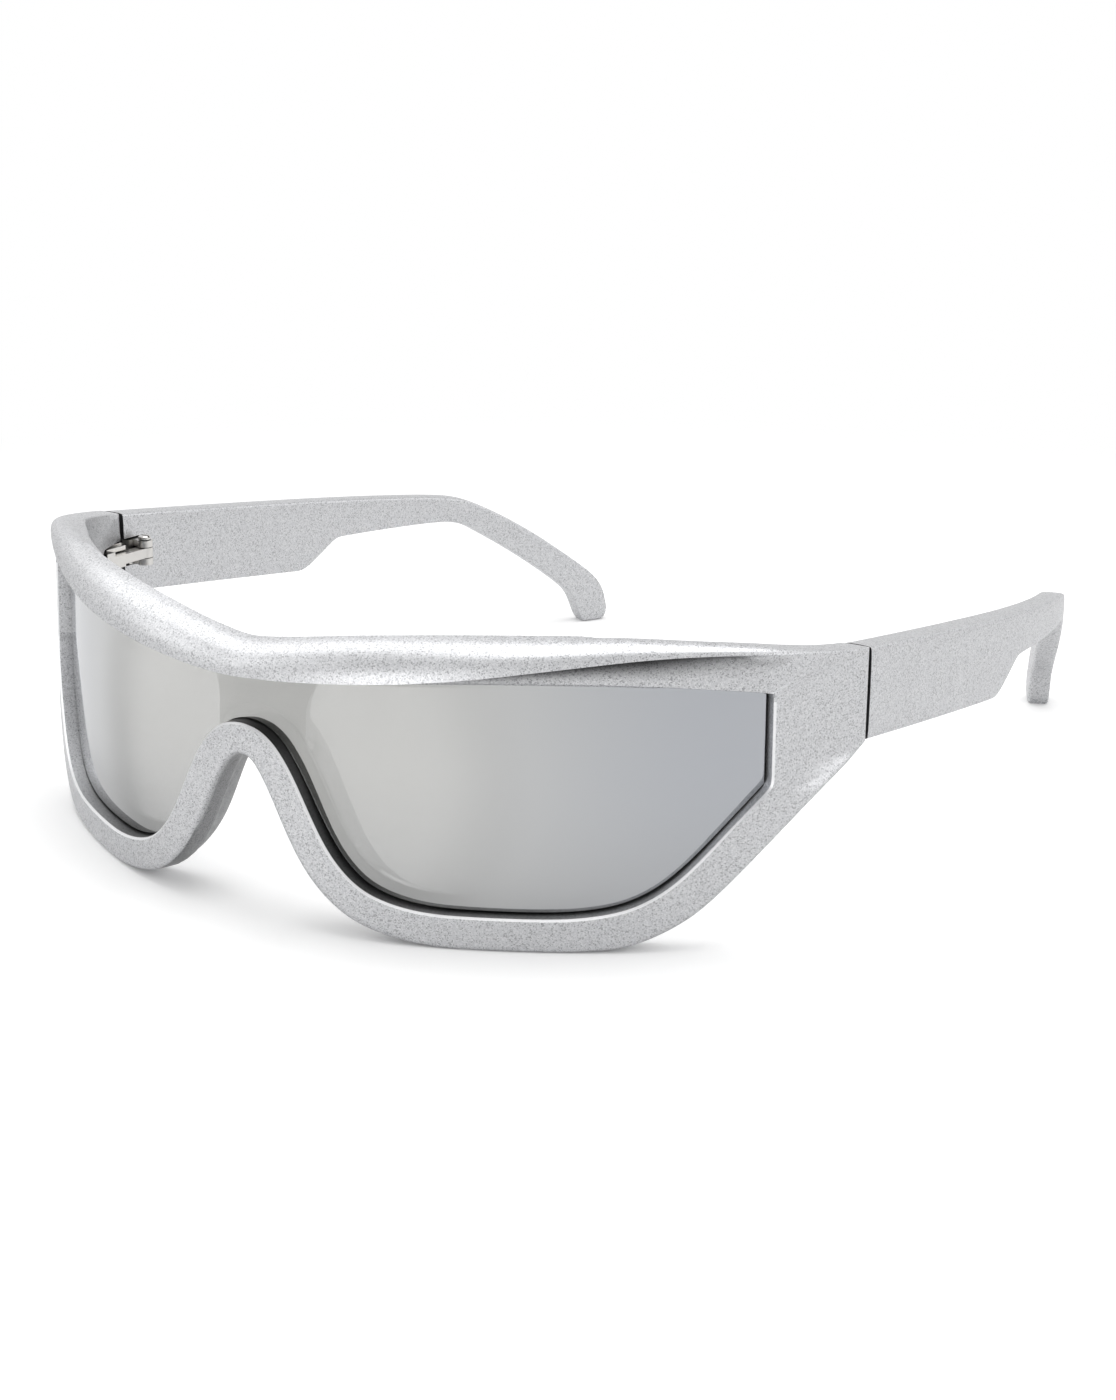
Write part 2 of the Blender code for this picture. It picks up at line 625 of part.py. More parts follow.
def add_temple(side, paint, axis):
    name = SIDE_NAMES[side]

    def shape(bm):
        loft(bm, [temple_section(along) for along in temple_stations()], capped=(0, -1))
        bmesh.ops.translate(bm, vec=-AXIS, verts=bm.verts)
        on_side(bm, side)

    def pocket(bm):
        reach = LEAF_HEIGHT / 2 + LEAF_CLEARANCE
        box(bm, (-BARREL_RADIUS - CUT_OVERRUN, -CUT_OVERRUN - HINGE_SETBACK, -reach),
            (HINGE_INSET + LEAF_SINK + LEAF_CLEARANCE,
             TEMPLE_LEAF_END + LEAF_CLEARANCE - HINGE_SETBACK, reach), POCKET_ROUND)
        on_side(bm, side)

    temple = add_object(name + '_temple', shape, paint, axis)
    combine(temple, add_cutter(name + '_temple_pocket', pocket, axis), 'DIFFERENCE')


def cut_front_pocket(frame, side, axis):
    """Pocket in an end piece that takes the front hinge leaf."""
    def pocket(bm):
        reach = LEAF_HEIGHT / 2 + LEAF_CLEARANCE
        start = -HINGE_SETBACK - LEAF_SETBACK - FRONT_LEAF_LENGTH - LEAF_CLEARANCE
        box(bm, (-BARREL_RADIUS - CUT_OVERRUN, start, -reach),
            (HINGE_INSET + LEAF_SINK + LEAF_CLEARANCE, CUT_OVERRUN - HINGE_SETBACK, reach),
            POCKET_ROUND)
        on_side(bm, side)

    combine(frame, add_cutter(SIDE_NAMES[side] + '_end_pocket', pocket, axis), 'DIFFERENCE')


def join_box(leaf, name, low, high, side, axis):
    """Make a box on the wearer's left or right side part of a leaf."""
    def shape(bm):
        box(bm, low, high)
        on_side(bm, side)

    combine(leaf, add_cutter(name, shape, axis), 'UNION')


def join_knuckle(leaf, name, low, high, axis):
    knuckle = add_cutter(name, lambda bm: disc(bm, BARREL_RADIUS, low, high), axis)
    combine(leaf, knuckle, 'UNION')


def cut_pin_hole(leaf, name, axis):
    reach = FRONT_KNUCKLE / 2 + SIDE_KNUCKLE + CUT_OVERRUN
    hole = add_cutter(name, lambda bm: disc(bm, PIN_RADIUS + PIN_CLEARANCE, -reach, reach), axis)
    combine(leaf, hole, 'DIFFERENCE')


def add_front_leaf(side, metal, axis):
    """Leaf in the end piece, whose long arm carries the middle knuckle."""
    name = SIDE_NAMES[side] + '_front_leaf'
    stop = -LEAF_SETBACK - HINGE_SETBACK
    start = stop - FRONT_LEAF_LENGTH
    block_start = start + BLOCK_INSET
    block_stop = block_start + BLOCK_LENGTH
    half = FRONT_KNUCKLE / 2
    inside = HINGE_INSET + LEAF_SINK / 2

    def plate(bm):
        box(bm, (HINGE_INSET - LEAF_PROUD, start, -LEAF_HEIGHT / 2),
            (HINGE_INSET + LEAF_SINK, stop, LEAF_HEIGHT / 2))
        on_side(bm, side)

    leaf = add_object(name, plate, metal, axis)
    join_box(leaf, name + '_block', (-ARM_HALF - BLOCK_PROUD, block_start, -BLOCK_HEIGHT / 2),
             (inside, block_stop, BLOCK_HEIGHT / 2), side, axis)
    join_box(leaf, name + '_arm', (-ARM_HALF, block_start + BLOCK_LENGTH / 2, -half),
             (ARM_HALF, 0, half), side, axis)
    for place, end in (('upper', 1), ('lower', -1)):
        low, high = sorted((end * (half + CHEEK_GAP), end * (LEAF_HEIGHT / 2 - CHEEK_GAP)))
        join_box(leaf, f'{name}_{place}_cheek',
                 (HINGE_INSET - CHEEK_PROUD, block_stop - BLOCK_INSET, low),
                 (inside, stop - BLOCK_INSET, high), side, axis)
    join_knuckle(leaf, name + '_knuckle', -half, half, axis)
    cut_pin_hole(leaf, name + '_hole', axis)


def add_temple_leaf(side, metal, axis):
    """Leaf in the temple with the upper and lower knuckles."""
    name = SIDE_NAMES[side] + '_temple_leaf'
    near = FRONT_KNUCKLE / 2 + KNUCKLE_CLEARANCE

    def plate(bm):
        box(bm, (HINGE_INSET - LEAF_PROUD, TEMPLE_LEAF_START - HINGE_SETBACK, -LEAF_HEIGHT / 2),
            (HINGE_INSET + LEAF_SINK, TEMPLE_LEAF_END - HINGE_SETBACK, LEAF_HEIGHT / 2))
        on_side(bm, side)

    leaf = add_object(name, plate, metal, axis)
    for place, end in (('upper', 1), ('lower', -1)):
        low, high = sorted((end * near, end * (near + SIDE_KNUCKLE)))
        join_box(leaf, f'{name}_{place}_arm', (0, -ARM_HALF, low),
                 (HINGE_INSET + LEAF_SINK / 2, ARM_HALF, high), side, axis)
        join_knuckle(leaf, f'{name}_{place}_knuckle', low, high, axis)
    cut_pin_hole(leaf, name + '_hole', axis)


def add_screw(side, metal, axis):
    """Slotted hinge screw through the three knuckles, turned about its axis."""
    name = SIDE_NAMES[side] + '_hinge_screw'
    end = FRONT_KNUCKLE / 2 + KNUCKLE_CLEARANCE + SIDE_KNUCKLE
    seat = end + KNUCKLE_CLEARANCE
    top = seat + SCREW_HEAD_HEIGHT
    edge = SCREW_HEAD_RADIUS - SCREW_HEAD_ROUND
    profile = ((0, top), (edge, top), (SCREW_HEAD_RADIUS, top - SCREW_HEAD_ROUND),
               (SCREW_HEAD_RADIUS, seat), (PIN_RADIUS, seat), (PIN_RADIUS, -end), (0, -end))

    def outline(bm):
        verts = [bm.verts.new((x, 0, z)) for x, z in profile]
        for pair in zip(verts, verts[1:]):
            bm.edges.new(pair)

    def slot(bm):
        reach = SCREW_HEAD_RADIUS + CUT_OVERRUN
        box(bm, (-reach, -SCREW_SLOT_WIDTH / 2, top - SCREW_SLOT_DEPTH),
            (reach, SCREW_SLOT_WIDTH / 2, top + CUT_OVERRUN))

    screw = add_object(name, outline, metal, axis)
    turn = screw.modifiers.new('turn', 'SCREW')
    turn.steps = ROUND_SIDES
    turn.render_steps = ROUND_SIDES
    turn.use_merge_vertices = True
    turn.merge_threshold = MERGE_DISTANCE
    combine(screw, add_cutter(name + '_slot', slot, axis), 'DIFFERENCE')


def make_material(name, colour, metallic, roughness):
    material = bpy.data.materials.new(name)
    material.use_nodes = True
    shader = material.node_tree.nodes['Principled BSDF']
    shader.inputs['Base Color'].default_value = (*colour, 1)
    shader.inputs['Metallic'].default_value = metallic
    shader.inputs['Roughness'].default_value = roughness
    return material


def add_empty(name, place, parent=None):
    empty = bpy.data.objects.new(name, None)
    empty.empty_display_size = HINGE_SETBACK
    bpy.data.collections['sunglasses'].objects.link(empty)
    empty.location = place
    empty.parent = parent
    return empty


def centre(root):
    """Stand the middle of the whole outline over the origin."""
    graph = bpy.context.evaluated_depsgraph_get()
    places = []
    for obj in bpy.data.collections['sunglasses'].objects:
        if obj.type == 'MESH':
            done = obj.evaluated_get(graph)
            places += [done.matrix_world @ v.co for v in done.data.vertices]
    low, high = np.min(places, axis=0), np.max(places, axis=0)
    root.location = (0, -(low[1] + high[1]) / 2, -low[2])
    bpy.context.view_layer.update()
    print('size in mm', [round(float(v), 2) for v in (high - low) / MM])


def build():
    for obj in list(bpy.data.objects):
        bpy.data.objects.remove(obj)
    for group in ('sunglasses', 'cutters'):
        if group not in bpy.data.collections:
            bpy.context.scene.collection.children.link(bpy.data.collections.new(group))
    paint = make_material('silver_paint', (0.62, 0.63, 0.65), 0.55, 0.42)
    mirror = make_material('mirror_lens', (0.62, 0.63, 0.65), 0.9, 0.08)
    metal = make_material('nickel', (0.66, 0.64, 0.6), 1.0, 0.25)
    root = add_empty('sunglasses_base', (0, 0, 0))
    frame = mirrored(add_object('front_frame', front_half, paint, root))
    combine(frame, mirrored(add_cutter('nose_saddle', saddle_half, root)), 'UNION')
    combine(frame, add_cutter('bridge_wall', bridge_wall, root), 'UNION')
    mirrored(add_object('shield_lens', lens_half, mirror, root))
    axes = {}
    for side in (1, -1):
        axis = add_empty(SIDE_NAMES[side] + '_hinge_axis', (side * AXIS.x, AXIS.y, AXIS.z), root)
        axes[side] = axis
        cut_front_pocket(frame, side, axis)
        add_temple(side, paint, axis)
        add_front_leaf(side, metal, axis)
        add_temple_leaf(side, metal, axis)
        add_screw(side, metal, axis)
    centre(root)
    for axis in axes.values():
        print(axis.name, [round(v, 6) for v in axis.matrix_world.translation])


build()
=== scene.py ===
# %% [markdown]
# Wraparound sunglasses, open on a white table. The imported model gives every
# piece its size and place. This notebook gives the pieces their finished
# surfaces: a silver flake paint, a mirror lens and polished hinges.

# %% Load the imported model
from math import cos, radians, sin

import bmesh
import bpy
from mathutils import Matrix, Vector


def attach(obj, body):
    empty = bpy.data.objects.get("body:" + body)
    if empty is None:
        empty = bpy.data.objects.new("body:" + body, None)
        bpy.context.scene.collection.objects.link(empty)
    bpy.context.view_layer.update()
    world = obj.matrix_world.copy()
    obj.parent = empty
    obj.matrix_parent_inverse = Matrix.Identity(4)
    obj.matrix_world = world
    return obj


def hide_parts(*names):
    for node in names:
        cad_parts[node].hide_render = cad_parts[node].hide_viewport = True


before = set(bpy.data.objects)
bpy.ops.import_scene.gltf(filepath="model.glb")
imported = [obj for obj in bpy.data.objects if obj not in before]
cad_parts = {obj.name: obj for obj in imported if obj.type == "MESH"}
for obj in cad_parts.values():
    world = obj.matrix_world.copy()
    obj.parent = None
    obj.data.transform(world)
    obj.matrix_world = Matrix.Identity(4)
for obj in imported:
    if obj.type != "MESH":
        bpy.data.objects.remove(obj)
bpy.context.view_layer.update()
MM = 0.001
print("pieces in the packed model:", sorted(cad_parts))

# %% [markdown]
# The photograph was taken from the wearer's left, from a little above and
# about 0.4 m away. A camera can be placed by eye, but then every outline is a
# little off. Here its place and focal length come from matching the outlines
# of the frame. The sensor's long side is the picture's height, so the focal
# length in pixels becomes a lens in millimetres through it.

# %% Camera
PICTURE_HEIGHT_PX = 1400
FOCAL_PX = 2612
CAMERA_PLACE = Vector((221.8, -337.0, 134.3)) * MM
CAMERA_AZIMUTH = radians(33.55)
CAMERA_ELEVATION = radians(16.95)
CAMERA_ROLL = radians(0.6)
NEAREST_SEEN = 10 * MM


def camera_axes(azimuth, elevation, roll):
    """Right, up and back directions of a camera that looks from an azimuth."""
    forward = Vector((-sin(azimuth) * cos(elevation), cos(azimuth) * cos(elevation),
                      -sin(elevation)))
    right = Vector((cos(azimuth), sin(azimuth), 0))
    up = right.cross(forward)
    return (cos(roll) * right + sin(roll) * up, cos(roll) * up - sin(roll) * right, -forward)


camera_data = bpy.data.cameras.new("camera")
camera_data.sensor_fit = "AUTO"
camera_data.lens = FOCAL_PX * camera_data.sensor_width / PICTURE_HEIGHT_PX
camera_data.clip_start = NEAREST_SEEN
camera = bpy.data.objects.new("camera", camera_data)
bpy.context.scene.collection.objects.link(camera)
turn = Matrix(camera_axes(CAMERA_AZIMUTH, CAMERA_ELEVATION, CAMERA_ROLL)).transposed()
camera.matrix_world = Matrix.Translation(CAMERA_PLACE) @ turn.to_4x4()
bpy.context.scene.camera = camera
print("lens", round(camera_data.lens, 1), "mm")

# %% [markdown]
# Every finish below is a small tree of nodes. These helpers add a node and
# fill its inputs in one line. Blender would take the same steps by hand in the
# Shader Editor, but a helper keeps each tree short enough to read.

# %% Node helpers
def socket(node, name, value):
    """Set a node's input to a value, or link it to another node's output."""
    if isinstance(value, bpy.types.NodeSocket):
        node.id_data.links.new(value, node.inputs[name])
    else:
        node.inputs[name].default_value = value


def add_node(tree, kind, settings=None, **inputs):
    """New node; inputs are given by name, with _ for a space, or by number, as _0."""
    node = tree.nodes.new(kind)
    for key, value in (settings or {}).items():
        setattr(node, key, value)
    for key, value in inputs.items():
        name = int(key[1:]) if key[1:].isdigit() else key.replace("_", " ")
        socket(node, name, value)
    return node


def computed(tree, operation, *values, clamp=False):
    """Output of a Math node."""
    node = add_node(tree, "ShaderNodeMath", {"operation": operation, "use_clamp": clamp})
    for k, value in enumerate(values):
        socket(node, k, value)
    return node.outputs[0]


def ramp(tree, value, start, end, low, high):
    """Value that goes smoothly from low to high as another goes from start to end."""
    node = add_node(tree, "ShaderNodeMapRange", {"interpolation_type": "SMOOTHSTEP"},
                    _0=value, _1=start, _2=end, _3=low, _4=high)
    return node.outputs[0]


def mixed(tree, share, start, end, blend="MIX"):
    """Colour that goes from start to end as the share goes from 0 to 1."""
    node = add_node(tree, "ShaderNodeMix", {"data_type": "RGBA", "blend_type": blend},
                    _0=share, _6=start, _7=end)
    return node.outputs[2]


def object_place(tree):
    """Place on a piece, which stays with the piece when it moves."""
    return add_node(tree, "ShaderNodeTexCoord").outputs["Object"]


def separated(tree, vector):
    """X, Y and Z of a vector."""
    return add_node(tree, "ShaderNodeSeparateXYZ", Vector=vector).outputs


print("helpers ready")

# %% [markdown]
# The photograph looks as if it was made in a white tent. A picture of a studio
# could wrap the scene, but a plain white background needs no file and is as
# even as the cloth.
# It is a little dimmer overhead. The Light Path node tells the rays apart: the
# camera sees the tent at full strength, mirrors see most of it, and everything
# else gets about half, because the lamps do the rest.

# %% Studio world
TENT_MIRRORED = (0.8, 0.7)  # strength low down and overhead
TENT_FILL = (0.5, 0.45)
TENT_HEIGHTS = (0.3, 0.9)
WHITE = (1, 1, 1, 1)


def background(tree, direct, mirrored, other):
    """One value for what is seen directly, one for mirrors and one for other rays."""
    path = add_node(tree, "ShaderNodeLightPath")
    straight = computed(tree, "ADD", path.outputs["Is Camera Ray"],
                        path.outputs["Is Transmission Ray"], clamp=True)
    behind = add_node(tree, "ShaderNodeMix", {"data_type": "FLOAT"},
                      _0=path.outputs["Is Glossy Ray"], _2=other, _3=mirrored)
    chosen = add_node(tree, "ShaderNodeMix", {"data_type": "FLOAT"}, _0=straight,
                      _2=behind.outputs[0], _3=direct)
    return chosen.outputs[0]


bpy.context.scene.view_settings.view_transform = "Standard"
world = bpy.data.worlds.new("studio")
bpy.context.scene.world = world
world.use_nodes = True
tree = world.node_tree
tree.nodes.clear()
height = separated(tree, add_node(tree, "ShaderNodeTexCoord").outputs["Generated"])["Z"]
mirrored, fill = (ramp(tree, height, *TENT_HEIGHTS, *levels)
                  for levels in (TENT_MIRRORED, TENT_FILL))
sky = add_node(tree, "ShaderNodeBackground", Color=WHITE,
               Strength=background(tree, 1.0, mirrored, fill))
add_node(tree, "ShaderNodeOutputWorld", Surface=sky.outputs[0])
print("tent of", len(tree.nodes), "nodes")

# %% [markdown]
# Softboxes stand round the table. One large lamp would light the brow evenly
# and leave it flat. Six small area lamps give it a long highlight from above,
# softer ones from both sides, and a low one in front that reaches the lower
# rim. Their power is low, so that the paint renders in about the colour that
# is written. A lamp shines along its own -Z, so its Z axis points away from
# the glasses.

# %% Lamps
LAMPS = {
    # name: (place in m, side in m, power in W)
    "left_key": ((-0.70, -0.45, 0.55), 0.5, 0.7),
    "left_high": ((-0.55, 0.10, 0.65), 0.5, 1.1),
    "overhead": ((0.05, 0.05, 0.80), 0.6, 2.6),
    "right": ((0.80, 0.05, 0.40), 0.5, 0.8),
    "right_back": ((0.50, 0.70, 0.45), 0.5, 0.6),
    "front_low": ((0.0, -0.90, 0.20), 0.4, 1.0),
}
for name, (place, size, power) in LAMPS.items():
    data = bpy.data.lights.new(name, "AREA")
    data.size = size
    data.energy = power
    lamp = bpy.data.objects.new(name, data)
    bpy.context.scene.collection.objects.link(lamp)
    lamp.location = place
    lamp.rotation_euler = Vector(place).to_track_quat("Z", "Y").to_euler()
    print(name, power, "W at", round(Vector(place).length, 2), "m")

# %% [markdown]
# The floor is one pale sheet. Paper that is only lit looks grey beside the
# tent, and a longer exposure would wash out the paint. So the lamps light the
# sheet, which keeps the shadows under the rims, and it also shines a little by
# itself. An Ambient Occlusion node takes that lift away in the narrow gaps
# under the rims, where the shadows are darkest. Away from the glasses the
# sheet fades to the tent's white.

# %% Floor finish
FLOOR_COLOUR = (0.85, 0.85, 0.85, 1)
FLOOR_LIFT = 0.41
FLOOR_MIRRORED_LIFT = 0.1
FLOOR_GAP = 17 * MM
FLOOR_FADE = (110 * MM, 300 * MM)
FLOOR_SAMPLES = 16

floor_material = bpy.data.materials.new("white_sweep")
floor_material.use_nodes = True
tree = floor_material.node_tree
tree.nodes.clear()
gap = add_node(tree, "ShaderNodeAmbientOcclusion", {"samples": FLOOR_SAMPLES},
               Distance=FLOOR_GAP)
lift = computed(tree, "MULTIPLY", gap.outputs["AO"], FLOOR_LIFT)
paper = add_node(tree, "ShaderNodeBsdfDiffuse", Color=FLOOR_COLOUR)
glow = add_node(tree, "ShaderNodeEmission", Color=WHITE,
                Strength=background(tree, lift, FLOOR_MIRRORED_LIFT, 0.0))
near = add_node(tree, "ShaderNodeAddShader", _0=paper.outputs[0], _1=glow.outputs[0])
away = add_node(tree, "ShaderNodeVectorMath", {"operation": "LENGTH"}, _0=object_place(tree))
fade = ramp(tree, away.outputs["Value"], *FLOOR_FADE, 0.0, 1.0)
white = add_node(tree, "ShaderNodeEmission", Color=WHITE, Strength=1.0)
both = add_node(tree, "ShaderNodeMixShader", _0=background(tree, fade, 0.0, 0.0),
                _1=near.outputs[0], _2=white.outputs[0])
add_node(tree, "ShaderNodeOutputMaterial", Surface=both.outputs[0])
print("floor finish of", len(tree.nodes), "nodes")

# %% [markdown]
# The sheet itself is one flat face, made with a bmesh operator.

# %% Floor sheet
FLOOR_HALF = 4.0
bm = bmesh.new()
bmesh.ops.create_grid(bm, x_segments=1, y_segments=1, size=FLOOR_HALF)
mesh = bpy.data.meshes.new("floor")
bm.to_mesh(mesh)
bm.free()
mesh.materials.append(floor_material)
floor = bpy.data.objects.new("floor", mesh)
bpy.context.scene.collection.objects.link(floor)
print("floor", 2 * FLOOR_HALF, "m wide")

# %% [markdown]
# The frame is moulded plastic under a silver flake paint. Seen close, the
# paint is a field of tiny flakes, some turned to the light and some away. A
# noise alone would make soft clouds. Each cell of a Voronoi texture is one
# flake with a brightness of its own, and a noise of the same size tilts the
# surface, so that the highlights sparkle. Both come from one node group with
# named inputs, so that another paint can use it with other values.

# %% Flake group
COLOUR = "NodeSocketColor"
NUMBER = "NodeSocketFloat"
VECTOR = "NodeSocketVector"
DARK_CHANCE = 0.3
LIGHT_CHANCE = 0.5
TILT_SCALE = 0.7
TILT_HEIGHT = 0.05 * MM
CLOUD_SCALE = 0.06
CLOUD_LEVELS = (0.3, 0.7)
ROUGHNESS = (0.36, 0.42)


def new_group(name, inputs, outputs):
    """New node group with its input and output nodes."""
    group = bpy.data.node_groups.new(name, "ShaderNodeTree")
    for kind, sockets in (("INPUT", inputs), ("OUTPUT", outputs)):
        for label, (shape, value) in sockets.items():
            item = group.interface.new_socket(label, in_out=kind, socket_type=shape)
            if value is not None:
                item.default_value = value
    return group, group.nodes.new("NodeGroupInput"), group.nodes.new("NodeGroupOutput")


flakes, given, result = new_group(
    "paint_flakes",
    {"Paint": (COLOUR, (0.6, 0.6, 0.6, 1)), "Dark Flake": (COLOUR, (0.3, 0.3, 0.3, 1)),
     "Light Flake": (COLOUR, (0.9, 0.9, 0.9, 1)), "Grain": (NUMBER, 3200.0),
     "Dark Share": (NUMBER, 0.3), "Light Share": (NUMBER, 0.2), "Tilt": (NUMBER, 0.2)},
    {"Color": (COLOUR, None), "Normal": (VECTOR, None), "Roughness": (NUMBER, None)})
asked = given.outputs
place = object_place(flakes)
cells = add_node(flakes, "ShaderNodeTexVoronoi", Vector=place, Scale=asked["Grain"])
chance = separated(flakes, cells.outputs["Color"])["X"]
dark = ramp(flakes, chance, DARK_CHANCE, 0.0, 0.0, 1.0)
light = ramp(flakes, chance, LIGHT_CHANCE, 1.0, 0.0, 1.0)
shaded = mixed(flakes, computed(flakes, "MULTIPLY", dark, asked["Dark Share"]),
               asked["Paint"], asked["Dark Flake"])
sparkled = mixed(flakes, computed(flakes, "MULTIPLY", light, asked["Light Share"]),
                 shaded, asked["Light Flake"])
grain = add_node(flakes, "ShaderNodeTexNoise", Vector=place,
                 Scale=computed(flakes, "MULTIPLY", asked["Grain"], TILT_SCALE))
tilt = add_node(flakes, "ShaderNodeBump", Height=grain.outputs[0],
                Strength=asked["Tilt"], Distance=TILT_HEIGHT)
cloud = add_node(flakes, "ShaderNodeTexNoise", Vector=place,
                 Scale=computed(flakes, "MULTIPLY", asked["Grain"], CLOUD_SCALE), Detail=2.0)
socket(result, "Color", sparkled)
socket(result, "Normal", tilt.outputs[0])
socket(result, "Roughness", ramp(flakes, cloud.outputs[0], *CLOUD_LEVELS, *ROUGHNESS))
print("flake group of", len(flakes.nodes), "nodes")

# %% [markdown]
# The frame and the temples wear the paint. Under the brow, in the nose gap and
# at the foot of the lens opening it looks darker than its own colour. Lamps
# alone leave those hollows too bright, because metal flakes mirror the white
# table. So an Ambient Occlusion node darkens the wide hollows of a piece, and
# an attribute called crevice, which the mesh carries, darkens its corners.

# %% Silver paint
PAINT = (0.63, 0.635, 0.65, 1)
DARK_FLAKE = (0.10, 0.10, 0.11, 1)
LIGHT_FLAKE = (0.95, 0.95, 0.96, 1)
FLAKE_GRAIN = 6500.0
DARK_SHARE = 0.5
LIGHT_SHARE = 0.4
FLAKE_TILT = 0.06
CAVITY = 40 * MM
CAVITY_OPEN = (0.3, 1.0)
CAVITY_SHADE = 0.35
CREVICE_START = 0.1
CREVICE_SHADE = 0.08
SHADE_SAMPLES = 12


def new_material(name, metallic, roughness):
    """New material, its node tree and its Principled shader."""
    material = bpy.data.materials.new(name)
    material.use_nodes = True
    shader = material.node_tree.nodes["Principled BSDF"]
    shader.inputs["Metallic"].default_value = metallic
    shader.inputs["Roughness"].default_value = roughness
    return material, material.node_tree, shader


def attribute(tree, name):
    """Value that the mesh carries under a name."""
    return add_node(tree, "ShaderNodeAttribute", {"attribute_name": name}).outputs["Fac"]


silver_paint, tree, shader = new_material("silver_flake_paint", 0.85, 0.4)
coat = add_node(tree, "ShaderNodeGroup", {"node_tree": flakes}, Paint=PAINT,
                Dark_Flake=DARK_FLAKE, Light_Flake=LIGHT_FLAKE, Grain=FLAKE_GRAIN,
                Dark_Share=DARK_SHARE, Light_Share=LIGHT_SHARE, Tilt=FLAKE_TILT)
open_sky = add_node(tree, "ShaderNodeAmbientOcclusion",
                    {"samples": SHADE_SAMPLES, "only_local": True}, Distance=CAVITY)
hollow = ramp(tree, open_sky.outputs["AO"], *CAVITY_OPEN, CAVITY_SHADE, 1.0)
corner = ramp(tree, attribute(tree, "crevice"), CREVICE_START, 1.0, 1.0, CREVICE_SHADE)
shaded = mixed(tree, 1.0, coat.outputs["Color"], computed(tree, "MULTIPLY", hollow, corner),
               blend="MULTIPLY")
socket(shader, "Normal", coat.outputs["Normal"])
socket(shader, "Roughness", coat.outputs["Roughness"])
print("paint of", len(tree.nodes), "nodes so far")

# %% [markdown]
# The chamfer round the lens opening and the edge at each joint get a painted
# highlight, a nearly white colour where they catch the light. The chamfer is
# marked on the mesh by a face attribute. The joint is a straight cut across the
# piece, so the distance along Y finds it. Inside the cut the end faces get
# painted shade, near black, for the narrow gap, which shows as a thin dark line
# when the temples are open. A Pointiness node could find the edges too, but it
# also finds every facet of the mesh.

# %% Painted highlights on edges and painted shade in the joints
# Painted highlight on the chamfer and the joint edges, painted shade on the joint's end
# faces
EDGE_HIGHLIGHT = (0.97, 0.97, 0.98, 1)
EDGE_HIGHLIGHT_SHARE = 0.8
JOINT_GAP_SHADE = (0.08, 0.08, 0.085, 1)
JOINT_PLACE = -31.98 * MM
JOINT_GAP = 0.64 * MM
JOINT_EDGE = 0.25 * MM

along = separated(tree, object_place(tree))["Y"]
# mask for the painted highlight along the front's edge at the joint
joint_edge_mask = computed(tree, "COMPARE", along, JOINT_PLACE - JOINT_GAP / 2, JOINT_EDGE)
highlighted = computed(tree, "MAXIMUM", attribute(tree, "painted_highlight"), joint_edge_mask)
painted = mixed(tree, computed(tree, "MULTIPLY", highlighted, EDGE_HIGHLIGHT_SHARE), shaded, EDGE_HIGHLIGHT)
# mask for the painted shade on the end faces inside the joint gap
joint_gap_mask = computed(tree, "COMPARE", along, JOINT_PLACE, JOINT_GAP / 2)
socket(shader, "Base Color", mixed(tree, joint_gap_mask, painted, JOINT_GAP_SHADE))
print("paint of", len(tree.nodes), "nodes")

# %% [markdown]
# The lens is a shallow shell of tinted plastic with a mirror coating. Round
# the nose the coating lets some light through, so the bridge wall and the
# saddle show behind it as a darker shape, and towards the ends it is denser.
# Transmission would bend the light in a shell this thin for nothing, so Alpha
# lets it through. The colour is warm in the middle, turns blue towards the
# temples and is a little darker at the bottom.

# %% Mirror lens
LENS_MIDDLE = (0.605, 0.605, 0.59, 1)
LENS_END = (0.465, 0.48, 0.51, 1)
LENS_TURN = (20 * MM, 60 * MM)
LENS_FOOT = (0.45, 0.455, 0.46, 1)
FOOT_HEIGHTS = (26 * MM, 5 * MM)
FOOT_SHARE = 0.5
NOSE_HEIGHT = 22 * MM
COATING_REACH = (26 * MM, 40 * MM)
COATING = (0.68, 0.98)

mirror_lens, tree, shader = new_material("mirror_lens", 1.0, 0.06)
across, _, height = separated(tree, object_place(tree))
outward = ramp(tree, computed(tree, "ABSOLUTE", across), *LENS_TURN, 0.0, 1.0)
down = ramp(tree, height, *FOOT_HEIGHTS, 0.0, FOOT_SHARE)
socket(shader, "Base Color",
       mixed(tree, down, mixed(tree, outward, LENS_MIDDLE, LENS_END), LENS_FOOT))
nose_offset = add_node(tree, "ShaderNodeCombineXYZ", X=across,
                       Y=computed(tree, "SUBTRACT", height, NOSE_HEIGHT))
from_nose = add_node(tree, "ShaderNodeVectorMath", {"operation": "LENGTH"},
                     _0=nose_offset.outputs[0])
socket(shader, "Alpha", ramp(tree, from_nose.outputs["Value"], *COATING_REACH, *COATING))
print("lens of", len(tree.nodes), "nodes")

# %% [markdown]
# The hinges look like nickel-plated steel. The narrow gaps between their
# knuckles and round the leaves get painted shade. The gaps are too small to
# darken by themselves under so much soft light, so an Ambient Occlusion node
# that reaches a millimetre or two finds them and darkens the colour there.

# %% Hinge metal
NICKEL = (0.74, 0.725, 0.70, 1)
KNUCKLE_SHADE_COLOUR = (0.05, 0.045, 0.04, 1)
KNUCKLE_SHADE_REACH = 1.5 * MM
KNUCKLE_SHADE_OPEN = (0.15, 0.75)

nickel, tree, shader = new_material("polished_nickel", 1.0, 0.28)
open_sky = add_node(tree, "ShaderNodeAmbientOcclusion", {"samples": SHADE_SAMPLES},
                    Distance=KNUCKLE_SHADE_REACH)
# painted shade: the colour turns near black in the hinge's narrow gaps
knuckle_shade = ramp(tree, open_sky.outputs["AO"], *KNUCKLE_SHADE_OPEN, 1.0, 0.0)
socket(shader, "Base Color", mixed(tree, knuckle_shade, NICKEL, KNUCKLE_SHADE_COLOUR))
print("hinge metal of", len(tree.nodes), "nodes")
